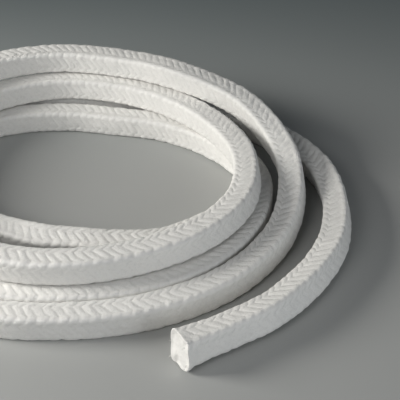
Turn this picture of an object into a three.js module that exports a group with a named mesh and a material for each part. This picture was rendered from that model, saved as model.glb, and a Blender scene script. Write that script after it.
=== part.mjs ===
import * as THREE from "three";

// Driving dimensions, in millimetres and degrees. The coil lies on z = 0.
const STRAND_WIDTH = 12;
const CORNER_RADIUS = 2.2;
const COIL_RADIUS = 84;
const TURN_GAP = 0.5;
const END_FLARE = 1.16;
const FREE_END_ANGLE = -64.2;
const ROW_ANGLE = 24;

// How the strand lies, one row every ROW_ANGLE, anticlockwise from the free end at the front.
// A row is [lane, level, roll]. The lane counts strands outward from COIL_RADIUS, the level
// counts strands up from the floor, where 1 rests on it, and roll tips the top outward.
const LIE = [
  // The free end swings wide at the right, then the lowest turn runs round to the front.
  [2.43, 1, -7], [2.8, 1, -17], [3.17, 1, -14], [2.87, 1, -15], [1.86, 1, -8],
  [0.83, 1, -2], [0.18], [0.4], [1.12], [1.48], [1.5], [1.22], [0.72], [0.37], [0.12],
  // The outer turn climbs at the right, lies on top behind and comes down at the left.
  [0.34], [0.81, 1, -4], [1.27, 1.12, -9], [1.45, 1.65, -12], [0.96, 2.5, -5],
  [0.1, 3.03, -3], [0.26, 3, -4], [0.82, 3, -4], [1.13, 3, -2], [1.1, 3],
  [0.58, 3], [-0.11, 2.75], [-0.82, 2.2], [-1.28, 2], [-1.4, 2],
  // The middle turn stays one strand up until it drops in beside the lowest turn.
  [-1.31, 2], [-0.85, 2, -4], [-0.37, 2, -9], [-0.3, 2, -10], [-0.52, 2, -4],
  [-0.5, 2], [-0.27, 2], [0.18, 2], [0.35, 2], [0.3, 2],
  [0.35, 2], [0.16, 1.5], [-0.28], [-0.63], [-0.9],
  // The inner turn lies on the floor and runs in across the opening.
  [-0.67], [-0.27], [0.1], [0.24], [-0.35],
  [-0.92], [-1.27], [-0.85], [-0.12], [0.24], [-0.32], [-2.2], [-3.35, 1, 6],
  [-3.69, 1, 14], [-3.75, 1, 9],
  // The inner end is tucked back under the middle turn.
  [-3.28, 1, 2], [-2.2], [-0.96],
];

const STEPS_PER_ROW = 5;

const rollAngle = ([, , roll = 0]) => THREE.MathUtils.degToRad(roll);

// Half the height of the section once it is rolled, so that a rolled strand still rests.
function halfHeight(roll) {
  const flat = STRAND_WIDTH / 2 - CORNER_RADIUS;
  return flat * (Math.cos(roll) + Math.abs(Math.sin(roll))) + CORNER_RADIUS;
}

// The free end is spread by the cut, so it lies a little higher.
function liePoint(row, index) {
  const [lane, level = 1] = row;
  const pitch = STRAND_WIDTH + TURN_GAP;
  const angle = THREE.MathUtils.degToRad(FREE_END_ANGLE + index * ROW_ANGLE);
  const radius = COIL_RADIUS + lane * pitch;
  const spread = index === 0 ? END_FLARE : 1;
  const height = spread * halfHeight(rollAngle(row)) + (level - 1) * pitch;
  return new THREE.Vector3(radius * Math.cos(angle), radius * Math.sin(angle), height);
}

// The middle line of the strand. Its frames keep the square section upright, apart from roll.
class StrandPath extends THREE.CatmullRomCurve3 {
  constructor() {
    super(LIE.map(liePoint), false, "centripetal");
  }

  getPoint(t, target = new THREE.Vector3()) {
    const point = super.getPoint(t, target);
    point.z = Math.max(point.z, halfHeight(this.rollAt(t)));
    return point;
  }

  rollAt(t) {
    const place = t * (LIE.length - 1);
    const row = Math.min(Math.floor(place), LIE.length - 2);
    return THREE.MathUtils.lerp(rollAngle(LIE[row]), rollAngle(LIE[row + 1]), place - row);
  }

  computeFrenetFrames(steps) {
    const tangents = [];
    const normals = [];
    const binormals = [];
    for (let step = 0; step <= steps; step++) {
      const tangent = this.getTangentAt(step / steps);
      const outward = new THREE.Vector3(tangent.y, -tangent.x, 0).normalize();
      const upward = new THREE.Vector3().crossVectors(outward, tangent);
      const roll = this.rollAt(this.getUtoTmapping(step / steps));
      const width = step === 0 ? END_FLARE : 1;
      tangents.push(tangent);
      normals.push(upward.applyAxisAngle(tangent, roll).multiplyScalar(width));
      binormals.push(outward.applyAxisAngle(tangent, roll).multiplyScalar(width));
    }
    return { tangents, normals, binormals };
  }
}

// The square section with rounded corners.
function strandSection() {
  const half = STRAND_WIDTH / 2;
  const flat = half - CORNER_RADIUS;
  const section = new THREE.Shape();
  section.absarc(flat, flat, CORNER_RADIUS, 0, Math.PI / 2);
  section.absarc(-flat, flat, CORNER_RADIUS, Math.PI / 2, Math.PI);
  section.absarc(-flat, -flat, CORNER_RADIUS, Math.PI, 1.5 * Math.PI);
  section.absarc(flat, -flat, CORNER_RADIUS, 1.5 * Math.PI, 2 * Math.PI);
  return section;
}

function strandGeometry() {
  const geometry = new THREE.ExtrudeGeometry(strandSection(), {
    extrudePath: new StrandPath(),
    steps: (LIE.length - 1) * STEPS_PER_ROW,
    curveSegments: 1,
  });
  geometry.computeBoundingBox();
  const { min, max } = geometry.boundingBox;
  geometry.translate(-(min.x + max.x) / 2, -(min.y + max.y) / 2, -min.z);
  return geometry;
}

const packing = new THREE.MeshStandardMaterial({
  name: "white_braided_packing",
  color: 0xdeddd8,
  roughness: 0.7,
  metalness: 0,
});

const strand = new THREE.Mesh(strandGeometry(), packing);
strand.name = "packing_strand";

const packingCoil = new THREE.Group();
packingCoil.name = "braided_packing_coil";
packingCoil.add(strand);

export default packingCoil;
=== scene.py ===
import math

import bpy
import numpy as np
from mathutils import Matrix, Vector, noise


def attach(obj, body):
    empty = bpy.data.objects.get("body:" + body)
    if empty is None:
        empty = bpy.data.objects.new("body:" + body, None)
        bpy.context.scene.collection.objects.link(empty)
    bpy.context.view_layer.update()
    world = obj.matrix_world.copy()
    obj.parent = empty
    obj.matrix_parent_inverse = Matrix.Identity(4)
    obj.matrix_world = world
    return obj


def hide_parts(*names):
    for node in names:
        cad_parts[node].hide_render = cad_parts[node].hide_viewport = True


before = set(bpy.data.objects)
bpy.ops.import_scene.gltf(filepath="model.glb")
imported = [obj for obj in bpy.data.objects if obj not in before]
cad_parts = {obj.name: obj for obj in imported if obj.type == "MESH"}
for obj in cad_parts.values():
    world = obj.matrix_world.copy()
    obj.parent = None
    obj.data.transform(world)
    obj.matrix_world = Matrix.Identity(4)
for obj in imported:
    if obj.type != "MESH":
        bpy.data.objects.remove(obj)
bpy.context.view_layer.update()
scene = bpy.context.scene
scene.view_settings.view_transform = "Standard"
MM = 0.001

# Camera. The photograph looks down at the coil from the front at 37 degrees, from under half a
# metre away. The aim is the floor point at the middle of the picture, right of the coil's centre.
CAMERA_AIM = Vector((47.745, 9.609, 0.0)) * MM
CAMERA_DISTANCE = 436 * MM
CAMERA_PITCH = math.radians(37)
CAMERA_LENS = 80.1
back = Vector((0, -math.cos(CAMERA_PITCH), math.sin(CAMERA_PITCH)))
bpy.ops.object.camera_add(
    location=CAMERA_AIM + back * CAMERA_DISTANCE,
    rotation=(math.pi / 2 - CAMERA_PITCH, 0, 0),
)
camera = bpy.context.object
camera.data.lens = CAMERA_LENS
camera.data.clip_start = 0.01
scene.camera = camera

# The strand's route. A loose length of packing is laid down by hand in four turns, so its middle
# line wanders in and out, climbs over the turns below and settles on the floor between them.
STRAND_WIDTH = 12.0
CORNER_RADIUS = 2.2
COIL_RADIUS = 84.0
TURN_PITCH = 12.5
END_FLARE = 1.16
FREE_END_ANGLE = -64.2
ROW_ANGLE = 24
# The frame's origin is the middle of the whole part, and the coil's own centre lies beside it.
COIL_CENTRE = Vector((-10.255, 5.609, 0))
ROUTE_STEPS = 10
# One row every ROW_ANGLE from the free end: lane out from COIL_RADIUS, level up from the floor,
# and how far the top is tipped outward, in degrees.
LIE = [
    (2.43, 1, -7), (2.8, 1, -17), (3.17, 1, -14), (2.87, 1, -15), (1.86, 1, -8),
    (0.83, 1, -2), (0.18, 1, 0), (0.4, 1, 0), (1.12, 1, 0), (1.48, 1, 0),
    (1.5, 1, 0), (1.22, 1, 0), (0.72, 1, 0), (0.37, 1, 0), (0.12, 1, 0),
    (0.34, 1, 0), (0.81, 1, -4), (1.27, 1.12, -9), (1.45, 1.65, -12), (0.96, 2.5, -5),
    (0.1, 3.03, -3), (0.26, 3, -4), (0.82, 3, -4), (1.13, 3, -2), (1.1, 3, 0),
    (0.58, 3, 0), (-0.11, 2.75, 0), (-0.82, 2.2, 0), (-1.28, 2, 0), (-1.4, 2, 0),
    (-1.31, 2, 0), (-0.85, 2, -4), (-0.37, 2, -9), (-0.3, 2, -10), (-0.52, 2, -4),
    (-0.5, 2, 0), (-0.27, 2, 0), (0.18, 2, 0), (0.35, 2, 0), (0.3, 2, 0),
    (0.35, 2, 0), (0.16, 1.5, 0), (-0.28, 1, 0), (-0.63, 1, 0), (-0.9, 1, 0),
    (-0.67, 1, 0), (-0.27, 1, 0), (0.1, 1, 0), (0.24, 1, 0), (-0.35, 1, 0),
    (-0.92, 1, 0), (-1.27, 1, 0), (-0.85, 1, 0), (-0.12, 1, 0), (0.24, 1, 0),
    (-0.32, 1, 0), (-2.2, 1, 0), (-3.35, 1, 6), (-3.69, 1, 14), (-3.75, 1, 9),
    (-3.28, 1, 2), (-2.2, 1, 0), (-0.96, 1, 0),
]


def half_height(roll):
    """Half the height of the rounded square once it is rolled, in millimetres."""
    flat = STRAND_WIDTH / 2 - CORNER_RADIUS
    return flat * (math.cos(roll) + abs(math.sin(roll))) + CORNER_RADIUS


def row_point(index):
    """Where the strand's middle passes at a row, in millimetres from the coil's centre."""
    lane, level, roll = LIE[index]
    angle = math.radians(FREE_END_ANGLE + index * ROW_ANGLE)
    radius = COIL_RADIUS + lane * TURN_PITCH
    spread = END_FLARE if index == 0 else 1
    height = spread * half_height(math.radians(roll)) + (level - 1) * TURN_PITCH
    return Vector((radius * math.cos(angle), radius * math.sin(angle), height))


def smooth_between(before, start, end, after, share):
    """A point on a centripetal Catmull-Rom curve, the same curve as the solid strand's."""
    gap_0 = (start - before).length ** 0.5
    gap_1 = (end - start).length ** 0.5
    gap_2 = (after - end).length ** 0.5
    leave = (start - before) / gap_0 - (end - before) / (gap_0 + gap_1) + (end - start) / gap_1
    reach = (end - start) / gap_1 - (after - start) / (gap_1 + gap_2) + (after - end) / gap_2
    leave *= gap_1
    reach *= gap_1
    cube = 2 * (start - end) + leave + reach
    square = 3 * (end - start) - 2 * leave - reach
    return start + share * (leave + share * (square + share * cube))


knots = [row_point(index) for index in range(len(LIE))]
knots = [2 * knots[0] - knots[1]] + knots + [2 * knots[-1] - knots[-2]]
route = []
route_rolls = []
for step in range((len(LIE) - 1) * ROUTE_STEPS + 1):
    row = min(step // ROUTE_STEPS, len(LIE) - 2)
    share = step / ROUTE_STEPS - row
    roll = math.radians(LIE[row][2] + share * (LIE[row + 1][2] - LIE[row][2]))
    point = smooth_between(*knots[row:row + 4], share)
    point.z = max(point.z, half_height(roll))
    route.append((point + COIL_CENTRE) * MM)
    route_rolls.append(roll)
route_length = sum((b - a).length for a, b in zip(route, route[1:]))

# The braided strand. Eight tracks of white yarn run along a square section, one on each face
# and one over each corner, and cross over and under one another so that the stitches lean to
# alternate sides. One stitch length is modelled, repeated along the strand and laid on the route.
STITCH = 4.1
FACE_TRACK = 4.4
SOFT_CORNER = 1.8
STITCH_SLANT = 3.1
# Stitches are parted by grooves and tracks by deeper ones, which a stitch bridges at its middle.
GROOVE_DEPTH = 0.24
EDGE_DROP = 0.85
EDGE_SHARPNESS = 2.5
TRACK_DEPTH = 0.4
TRACK_BRIDGED = 0.7
# The sides are pressed flatter than the top and the bottom. The change is made over half of a
# corner track, nearer to the top or bottom.
SIDE_RELIEF = 0.75
FADE_AFTER_TOP = 0.1
FADE_AFTER_SIDE = 0.4
FADE_WIDTH = 0.5
# The stitches of a corner track lie half a stitch further on than those of the faces.
NEST_STEP = 0.5
NEST_SHARPNESS = 6
STITCH_ROWS = (0, 0.14, 0.5, 0.86, 1)
STITCH_RISE = (0, 0.72, 1, 0.72, 0)
FACE_ACROSS = (-1, -0.5, 0, 0.5)
CORNER_ACROSS = (-1, -0.65, -0.3, 0, 0.3, 0.65)
WELD_DISTANCE = 0.01
# Unevenness, as the spacing and the height of the lumps, and of the shifts along the strand.
# Every other stitch is pulled a little tighter.
STITCH_LUMPS = (3.1, 0.22)
LONG_LUMPS = (17, 0.15)
STITCH_SHIFT = (5.3, 0.9)
SHIFT_PATTERN = Vector((0, 40, 0))
PULL_DIFFERENCE = 0.05
# The free end.
FLARE_LENGTH = 14.0
FLARE_SPREAD = 0.15
LOOSE_LENGTH = 6.0
SQUARENESS = 6
CUT_LEAN = 1.2
CORNER_PRESSED = 3.0
# From the rim inward: how much each ring of the cut shrinks, and how far it stands out.
CUT_RINGS = ((0.98, 0.25), (0.955, 0.05), (0.93, -0.4), (0.8, -0.08), (0.55, 0))
FILAMENT_ROOT = 0.16
FILAMENT_TIP = 0.04
# Loose filaments at the free end: place across and up the cut, lean and length.
FRINGE = (
    (5.4, -5.5, 0.3, 2.0), (5.0, -5.7, 0.1, 2.6), (4.4, -5.6, -0.2, 1.6), (-5.5, -4.8, 0.4, 1.8),
    (-5.6, -3.9, 0.1, 1.3), (5.6, 1.2, -0.3, 1.2), (-5.5, 4.9, 0.2, 1.4), (1.8, -5.6, 0.2, 1.2),
)

face_flat = STRAND_WIDTH / 2 - SOFT_CORNER
corner_track = 2 * (face_flat - FACE_TRACK / 2) + math.pi / 2 * SOFT_CORNER
quarter_turn = FACE_TRACK + corner_track


def section_point(run):
    """A point on the rounded square and its outward normal, run millimetres round from where
    the top face's track begins."""
    quarter, run = divmod(run, quarter_turn)
    straight = FACE_TRACK / 2 + face_flat
    arc = math.pi / 2 * SOFT_CORNER
    if run < straight:
        place, normal = (FACE_TRACK / 2 - run, STRAND_WIDTH / 2), (0, 1)
    elif run < straight + arc:
        turn = (run - straight) / SOFT_CORNER
        normal = (-math.sin(turn), math.cos(turn))
        place = (-face_flat + SOFT_CORNER * normal[0], face_flat + SOFT_CORNER * normal[1])
    else:
        place, normal = (-STRAND_WIDTH / 2, face_flat - (run - straight - arc)), (-1, 0)
    for _ in range(int(quarter) % 4):
        place = (-place[1], place[0])
        normal = (-normal[1], normal[0])
    return place, normal


# Round the strand: how far round, how far across its track, the lean of the stitches there, how
# far on they are nested between those beside them, and how much they stand out.
around = []
for quarter in range(4):
    on_top = quarter % 2 == 0
    relief, next_relief = (1, SIDE_RELIEF) if on_top else (SIDE_RELIEF, 1)
    fade_from = FADE_AFTER_TOP if on_top else FADE_AFTER_SIDE
    for across in FACE_ACROSS:
        share = (across + 1) / 2
        around.append((quarter * quarter_turn + share * FACE_TRACK, across, share, 0, relief))
    for across in CORNER_ACROSS:
        share = (across + 1) / 2
        nested = NEST_STEP * (1 - abs(across) ** NEST_SHARPNESS)
        run = quarter * quarter_turn + FACE_TRACK + share * corner_track
        passed = min(1, max(0, (share - fade_from) / FADE_WIDTH))
        between = relief + passed * (next_relief - relief)
        around.append((run, across, 1 - share, nested, between))
around.append((4 * quarter_turn, -1, 0, 0, 1))

bpy.ops.object.select_all(action="DESELECT")
bpy.ops.mesh.primitive_grid_add(
    x_subdivisions=len(STITCH_ROWS) - 1, y_subdivisions=len(around) - 1, size=1
)
strand = bpy.context.object
strand.name = "braided_strand"
mesh = strand.data
grid_places = {}
for vertex in mesh.vertices:
    column = round((vertex.co.y + 0.5) * (len(around) - 1))
    row = round((vertex.co.x + 0.5) * (len(STITCH_ROWS) - 1))
    grid_places[vertex.index] = (row, column)
for index, (row, column) in grid_places.items():
    run, across, lean, nested, relief = around[column]
    (side, up), (side_normal, up_normal) = section_point(run if column < len(around) - 1 else 0)
    if abs(across) < 1:
        rounding = 1 - EDGE_DROP * abs(across) ** EDGE_SHARPNESS
        sink = relief * GROOVE_DEPTH * (1 - STITCH_RISE[row] * rounding)
    else:
        sink = relief * TRACK_DEPTH * (1 - TRACK_BRIDGED * STITCH_RISE[row])
    along = STITCH * (STITCH_ROWS[row] + nested) + STITCH_SLANT * lean
    mesh.vertices[index].co = (along, side - sink * side_normal, up - sink * up_normal)
stitch_map = mesh.uv_layers.active.data
for loop in mesh.loops:
    row, column = grid_places[loop.vertex_index]
    stitch_map[loop.index].uv = (around[column][0] / STITCH, STITCH_ROWS[row])
mesh.update()

# Enough stitches to pass both ends, which are then cut square. Each stitch moves one on in the
# stitch map, so that its filament lines are its own.
spare = 3
bpy.ops.object.modifier_add(type="ARRAY")
repeat = strand.modifiers[-1]
repeat.use_relative_offset = False
repeat.use_constant_offset = True
repeat.constant_offset_displace = (STITCH, 0, 0)
repeat.count = math.ceil(route_length / MM / STITCH) + 2 * spare
repeat.use_merge_vertices = True
repeat.merge_threshold = WELD_DISTANCE
repeat.offset_v = 1
bpy.ops.object.modifier_apply(modifier=repeat.name)
bpy.ops.object.mode_set(mode="EDIT")
bpy.ops.mesh.select_all(action="SELECT")
bpy.ops.mesh.remove_doubles(threshold=WELD_DISTANCE)
bpy.ops.transform.translate(value=(-spare * STITCH, 0, 0))
for cut, side in ((0, -1), (route_length / MM, 1)):
    bpy.ops.mesh.select_all(action="SELECT")
    bpy.ops.mesh.bisect(
        plane_co=(cut, 0, 0), plane_no=(side, 0, 0), use_fill=True, clear_outer=True
    )
bpy.ops.mesh.select_mode(type="FACE")
bpy.ops.mesh.select_all(action="DESELECT")
bpy.ops.object.mode_set(mode="OBJECT")

# No two stitches are pulled quite alike. The cut lets the free end spread, its stitches loosen
# until they fill the section, and its lower inner corner is pressed in and forward.
places = np.zeros(len(mesh.vertices) * 3)
mesh.vertices.foreach_get("co", places)
places = places.reshape(-1, 3)
for place in places:
    here = Vector(place)
    uneven = noise.noise(here / STITCH_LUMPS[0]) * STITCH_LUMPS[1]
    uneven += noise.noise(here / LONG_LUMPS[0]) * LONG_LUMPS[1]
    uneven += PULL_DIFFERENCE * math.cos(math.pi * place[0] / STITCH)
    shifted = noise.noise(here / STITCH_SHIFT[0] + SHIFT_PATTERN) * STITCH_SHIFT[1]
    spread = 1 + uneven / (STRAND_WIDTH / 2)
    spread *= 1 + FLARE_SPREAD * max(0, 1 - place[0] / FLARE_LENGTH) ** 2
    reach = (abs(place[1]) ** SQUARENESS + abs(place[2]) ** SQUARENESS) ** (1 / SQUARENESS)
    loosened = max(0, 1 - place[0] / LOOSE_LENGTH)
    spread *= 1 + loosened * (STRAND_WIDTH / 2 / reach - 1)
    low_inside = (0.5 + place[1] / STRAND_WIDTH) * (0.5 - place[2] / STRAND_WIDTH)
    place[0] += shifted + CUT_LEAN * loosened * (place[2] / STRAND_WIDTH + 0.5)
    place[1] *= spread
    place[2] *= spread
    place[0] -= loosened * low_inside * CORNER_PRESSED / 2
    place[1] -= loosened * low_inside * CORNER_PRESSED
mesh.vertices.foreach_set("co", places.ravel() * MM)
mesh.update()

# At each cut the yarns stand up as a thin lip round a shallow dish. The cut is the one face there
# that has dozens of corners.
MOST_CORNERS_ELSEWHERE = 8
NEAR_CUT = 3 * MM
for cut, side in ((0, -1), (route_length, 1)):
    for face in mesh.polygons:
        many_corners = len(face.vertices) > MOST_CORNERS_ELSEWHERE
        face.select = many_corners and abs(face.center.x - cut) < NEAR_CUT
    bpy.ops.object.mode_set(mode="EDIT")
    for shrink, rise in CUT_RINGS:
        bpy.ops.mesh.extrude_region_move()
        bpy.ops.transform.resize(value=(1, shrink, shrink), center_override=(cut, 0, 0))
        bpy.ops.transform.translate(value=(side * rise * MM, 0, 0))
    bpy.ops.mesh.select_all(action="DESELECT")
    bpy.ops.object.mode_set(mode="OBJECT")

# A few filaments stick out of the free end's rim.
bpy.ops.object.mode_set(mode="EDIT")
for side, up, lean, length in FRINGE:
    bpy.ops.mesh.primitive_cone_add(
        vertices=5, radius1=FILAMENT_ROOT * MM, radius2=FILAMENT_TIP * MM, depth=length * MM,
        location=(-length / 2 * MM, side * MM, up * MM),
        rotation=(0, -math.pi / 2 - lean, lean),
    )
bpy.ops.mesh.select_all(action="SELECT")
bpy.ops.mesh.normals_make_consistent(inside=False)
bpy.ops.object.mode_set(mode="OBJECT")

# The straight strand is bent along the route, upright apart from its roll.
lie = bpy.data.curves.new("lie", "CURVE")
lie.dimensions = "3D"
lie.twist_mode = "Z_UP"
line = lie.splines.new("POLY")
line.points.add(len(route) - 1)
for spot, point, roll in zip(line.points, route, route_rolls):
    spot.co = (*point, 1)
    spot.tilt = roll
lie_guide = bpy.data.objects.new("lie_guide", lie)
scene.collection.objects.link(lie_guide)
bpy.ops.object.modifier_add(type="CURVE")
lay_down = strand.modifiers[-1]
lay_down.object = lie_guide
lay_down.deform_axis = "POS_X"
bpy.ops.object.modifier_apply(modifier=lay_down.name)
bpy.data.objects.remove(lie_guide)
# What rests on the floor is flattened by it.
for vertex in mesh.vertices:
    vertex.co.z = max(vertex.co.z, 0)
bpy.ops.object.shade_smooth()


def linear(code):
    """A colour written as an sRGB hex value, turned to the linear values of a shader socket."""
    values = [int(code[i:i + 2], 16) / 255 for i in (0, 2, 4)]
    return [v / 12.92 if v <= 0.04045 else ((v + 0.055) / 1.055) ** 2.4 for v in values] + [1]


def add_node(material, kind, settings=None, **sockets):
    """Adds a node to a material, with its settings, its input values and the links into it."""
    node = material.node_tree.nodes.new(kind)
    for name, value in (settings or {}).items():
        setattr(node, name, value)
    for name, value in sockets.items():
        socket = node.inputs[name.replace("_", " ")]
        if isinstance(value, bpy.types.NodeSocket):
            material.node_tree.links.new(value, socket)
        else:
            socket.default_value = value
    return node


def mix_colours(material, share, first, second):
    """Goes from one sRGB hex colour to another as the share socket goes from 0 to 1."""
    mix = add_node(material, "ShaderNodeMix", {"data_type": "RGBA"})
    factor, colour_a, colour_b, result = mix.inputs[0], mix.inputs[6], mix.inputs[7], mix.outputs[2]
    material.node_tree.links.new(share, factor)
    colour_a.default_value = linear(first)
    colour_b.default_value = linear(second)
    return result


# Braided PTFE yarn, plaited from flat bundles of fine filaments: a warm white with a soft sheen,
# greyer where it has been handled, with filament lines along each stitch and a slightly nubbly
# skin that breaks up the highlights.
yarn = bpy.data.materials.new("braided_ptfe_yarn")
yarn.use_nodes = True
surface = yarn.node_tree.nodes["Principled BSDF"]
surface.inputs["Roughness"].default_value = 0.55
surface.inputs["IOR"].default_value = 1.35
surface.inputs["Sheen Weight"].default_value = 0.15
surface.inputs["Sheen Roughness"].default_value = 0.4
on_yarn = add_node(yarn, "ShaderNodeTexCoord")
# Handling greys patches about 20 mm across.
handled = add_node(
    yarn, "ShaderNodeTexNoise", Vector=on_yarn.outputs["Object"], Scale=45.0, Detail=3.0
)
tone = mix_colours(yarn, handled.outputs["Fac"], "eeece8", "dfdedb")
# The nubs are bundles of filaments, about 1.2 mm across. The shade that sinks in between them is
# painted into the base colour.
nubs = add_node(
    yarn, "ShaderNodeTexNoise", Vector=on_yarn.outputs["Object"], Scale=800.0, Detail=2.0,
    Roughness=0.6,
)
# Painted shade: the base colour darkens to 0.92 of its tone between the nubs.
painted_nub_shade = add_node(
    yarn, "ShaderNodeMapRange", Value=nubs.outputs["Fac"], From_Min=0.25, From_Max=0.5,
    To_Min=0.92, To_Max=1.0,
)
shaded = add_node(
    yarn, "ShaderNodeVectorMath", {"operation": "SCALE"}, Vector=tone,
    Scale=painted_nub_shade.outputs["Result"],
)
yarn.node_tree.links.new(shaded.outputs["Vector"], surface.inputs["Base Color"])
# Nine lines lie side by side in a stitch, about half a millimetre apart. The real filaments are
# much finer, and are drawn coarser here so that they show.
lengthwise_map = add_node(
    yarn, "ShaderNodeMapping", Vector=on_yarn.outputs["UV"], Scale=(0.9, 9.0, 1.0)
)
filaments = add_node(
    yarn, "ShaderNodeTexNoise", Vector=lengthwise_map.outputs["Vector"], Scale=1.0, Detail=2.0
)
lines = add_node(
    yarn, "ShaderNodeBump", Strength=0.3, Distance=0.0003, Height=filaments.outputs["Fac"]
)
relief = add_node(
    yarn, "ShaderNodeBump", Strength=0.5, Distance=0.0004, Height=nubs.outputs["Fac"],
    Normal=lines.outputs["Normal"],
)
yarn.node_tree.links.new(relief.outputs["Normal"], surface.inputs["Normal"])
strand.data.materials.clear()
strand.data.materials.append(yarn)

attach(strand, "root")
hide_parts("packing_strand")

# The floor. A plain matt sheet of grey paper without a seam. Its colour darkens towards the back as
# painted shade, standing in for the light falling off there.
FLOOR_SIZE = 6
FLOOR_NEAR = 20 * MM
FLOOR_FAR = 300 * MM
bpy.ops.object.select_all(action="DESELECT")
bpy.ops.mesh.primitive_plane_add(size=FLOOR_SIZE, location=(0, 0, 0))
floor = bpy.context.object
floor.name = "floor"
paper = bpy.data.materials.new("grey_paper_painted_falloff")
paper.use_nodes = True
sheet = paper.node_tree.nodes["Principled BSDF"]
sheet.inputs["Roughness"].default_value = 0.5
on_floor = add_node(paper, "ShaderNodeTexCoord")
split = add_node(paper, "ShaderNodeSeparateXYZ", Vector=on_floor.outputs["Object"])
depth = add_node(
    paper, "ShaderNodeMapRange", Value=split.outputs["Y"], From_Min=FLOOR_NEAR,
    From_Max=FLOOR_FAR,
)
# Painted shade: the near colour goes over to the darker far colour, in place of the lamps' falloff.
shade = mix_colours(paper, depth.outputs["Result"], "acadab", "859092")
paper.node_tree.links.new(shade, sheet.inputs["Base Color"])
floor.data.materials.append(paper)

# The light. One soft lamp stands low at the left and is held to a cone, which leaves the far floor
# darker. One at the front left and a lower one at the right lift the near faces, and a faint plain
# sky keeps the shadows from going black.
LAMP_AIM = Vector((45, -15, 10)) * MM


def soft_lamp(name, place, size, power, colour, spread):
    """A square lamp that faces the front of the coil. Its light spreads that many degrees."""
    bpy.ops.object.light_add(type="AREA", location=place)
    lamp = bpy.context.object
    lamp.name = name
    lamp.data.size = size
    lamp.data.energy = power
    lamp.data.color = linear(colour)[:3]
    lamp.data.spread = math.radians(spread)
    lamp.rotation_euler = (LAMP_AIM - Vector(place)).to_track_quat("-Z", "Y").to_euler()


soft_lamp(
    "window_lamp", place=(-0.485, -0.02, 0.26), size=0.2, power=1.0, colour="fffdf8", spread=100
)
soft_lamp(
    "front_lamp", place=(-0.21, -0.36, 0.36), size=0.25, power=0.78, colour="ffffff", spread=180
)
soft_lamp(
    "right_lamp", place=(0.41, -0.34, 0.15), size=0.3, power=0.75, colour="f6fbff", spread=180
)
world = bpy.data.worlds.new("plain_sky")
scene.world = world
world.use_nodes = True
sky = world.node_tree.nodes["Background"]
sky.inputs["Color"].default_value = linear("dfe7ee")
sky.inputs["Strength"].default_value = 0.06
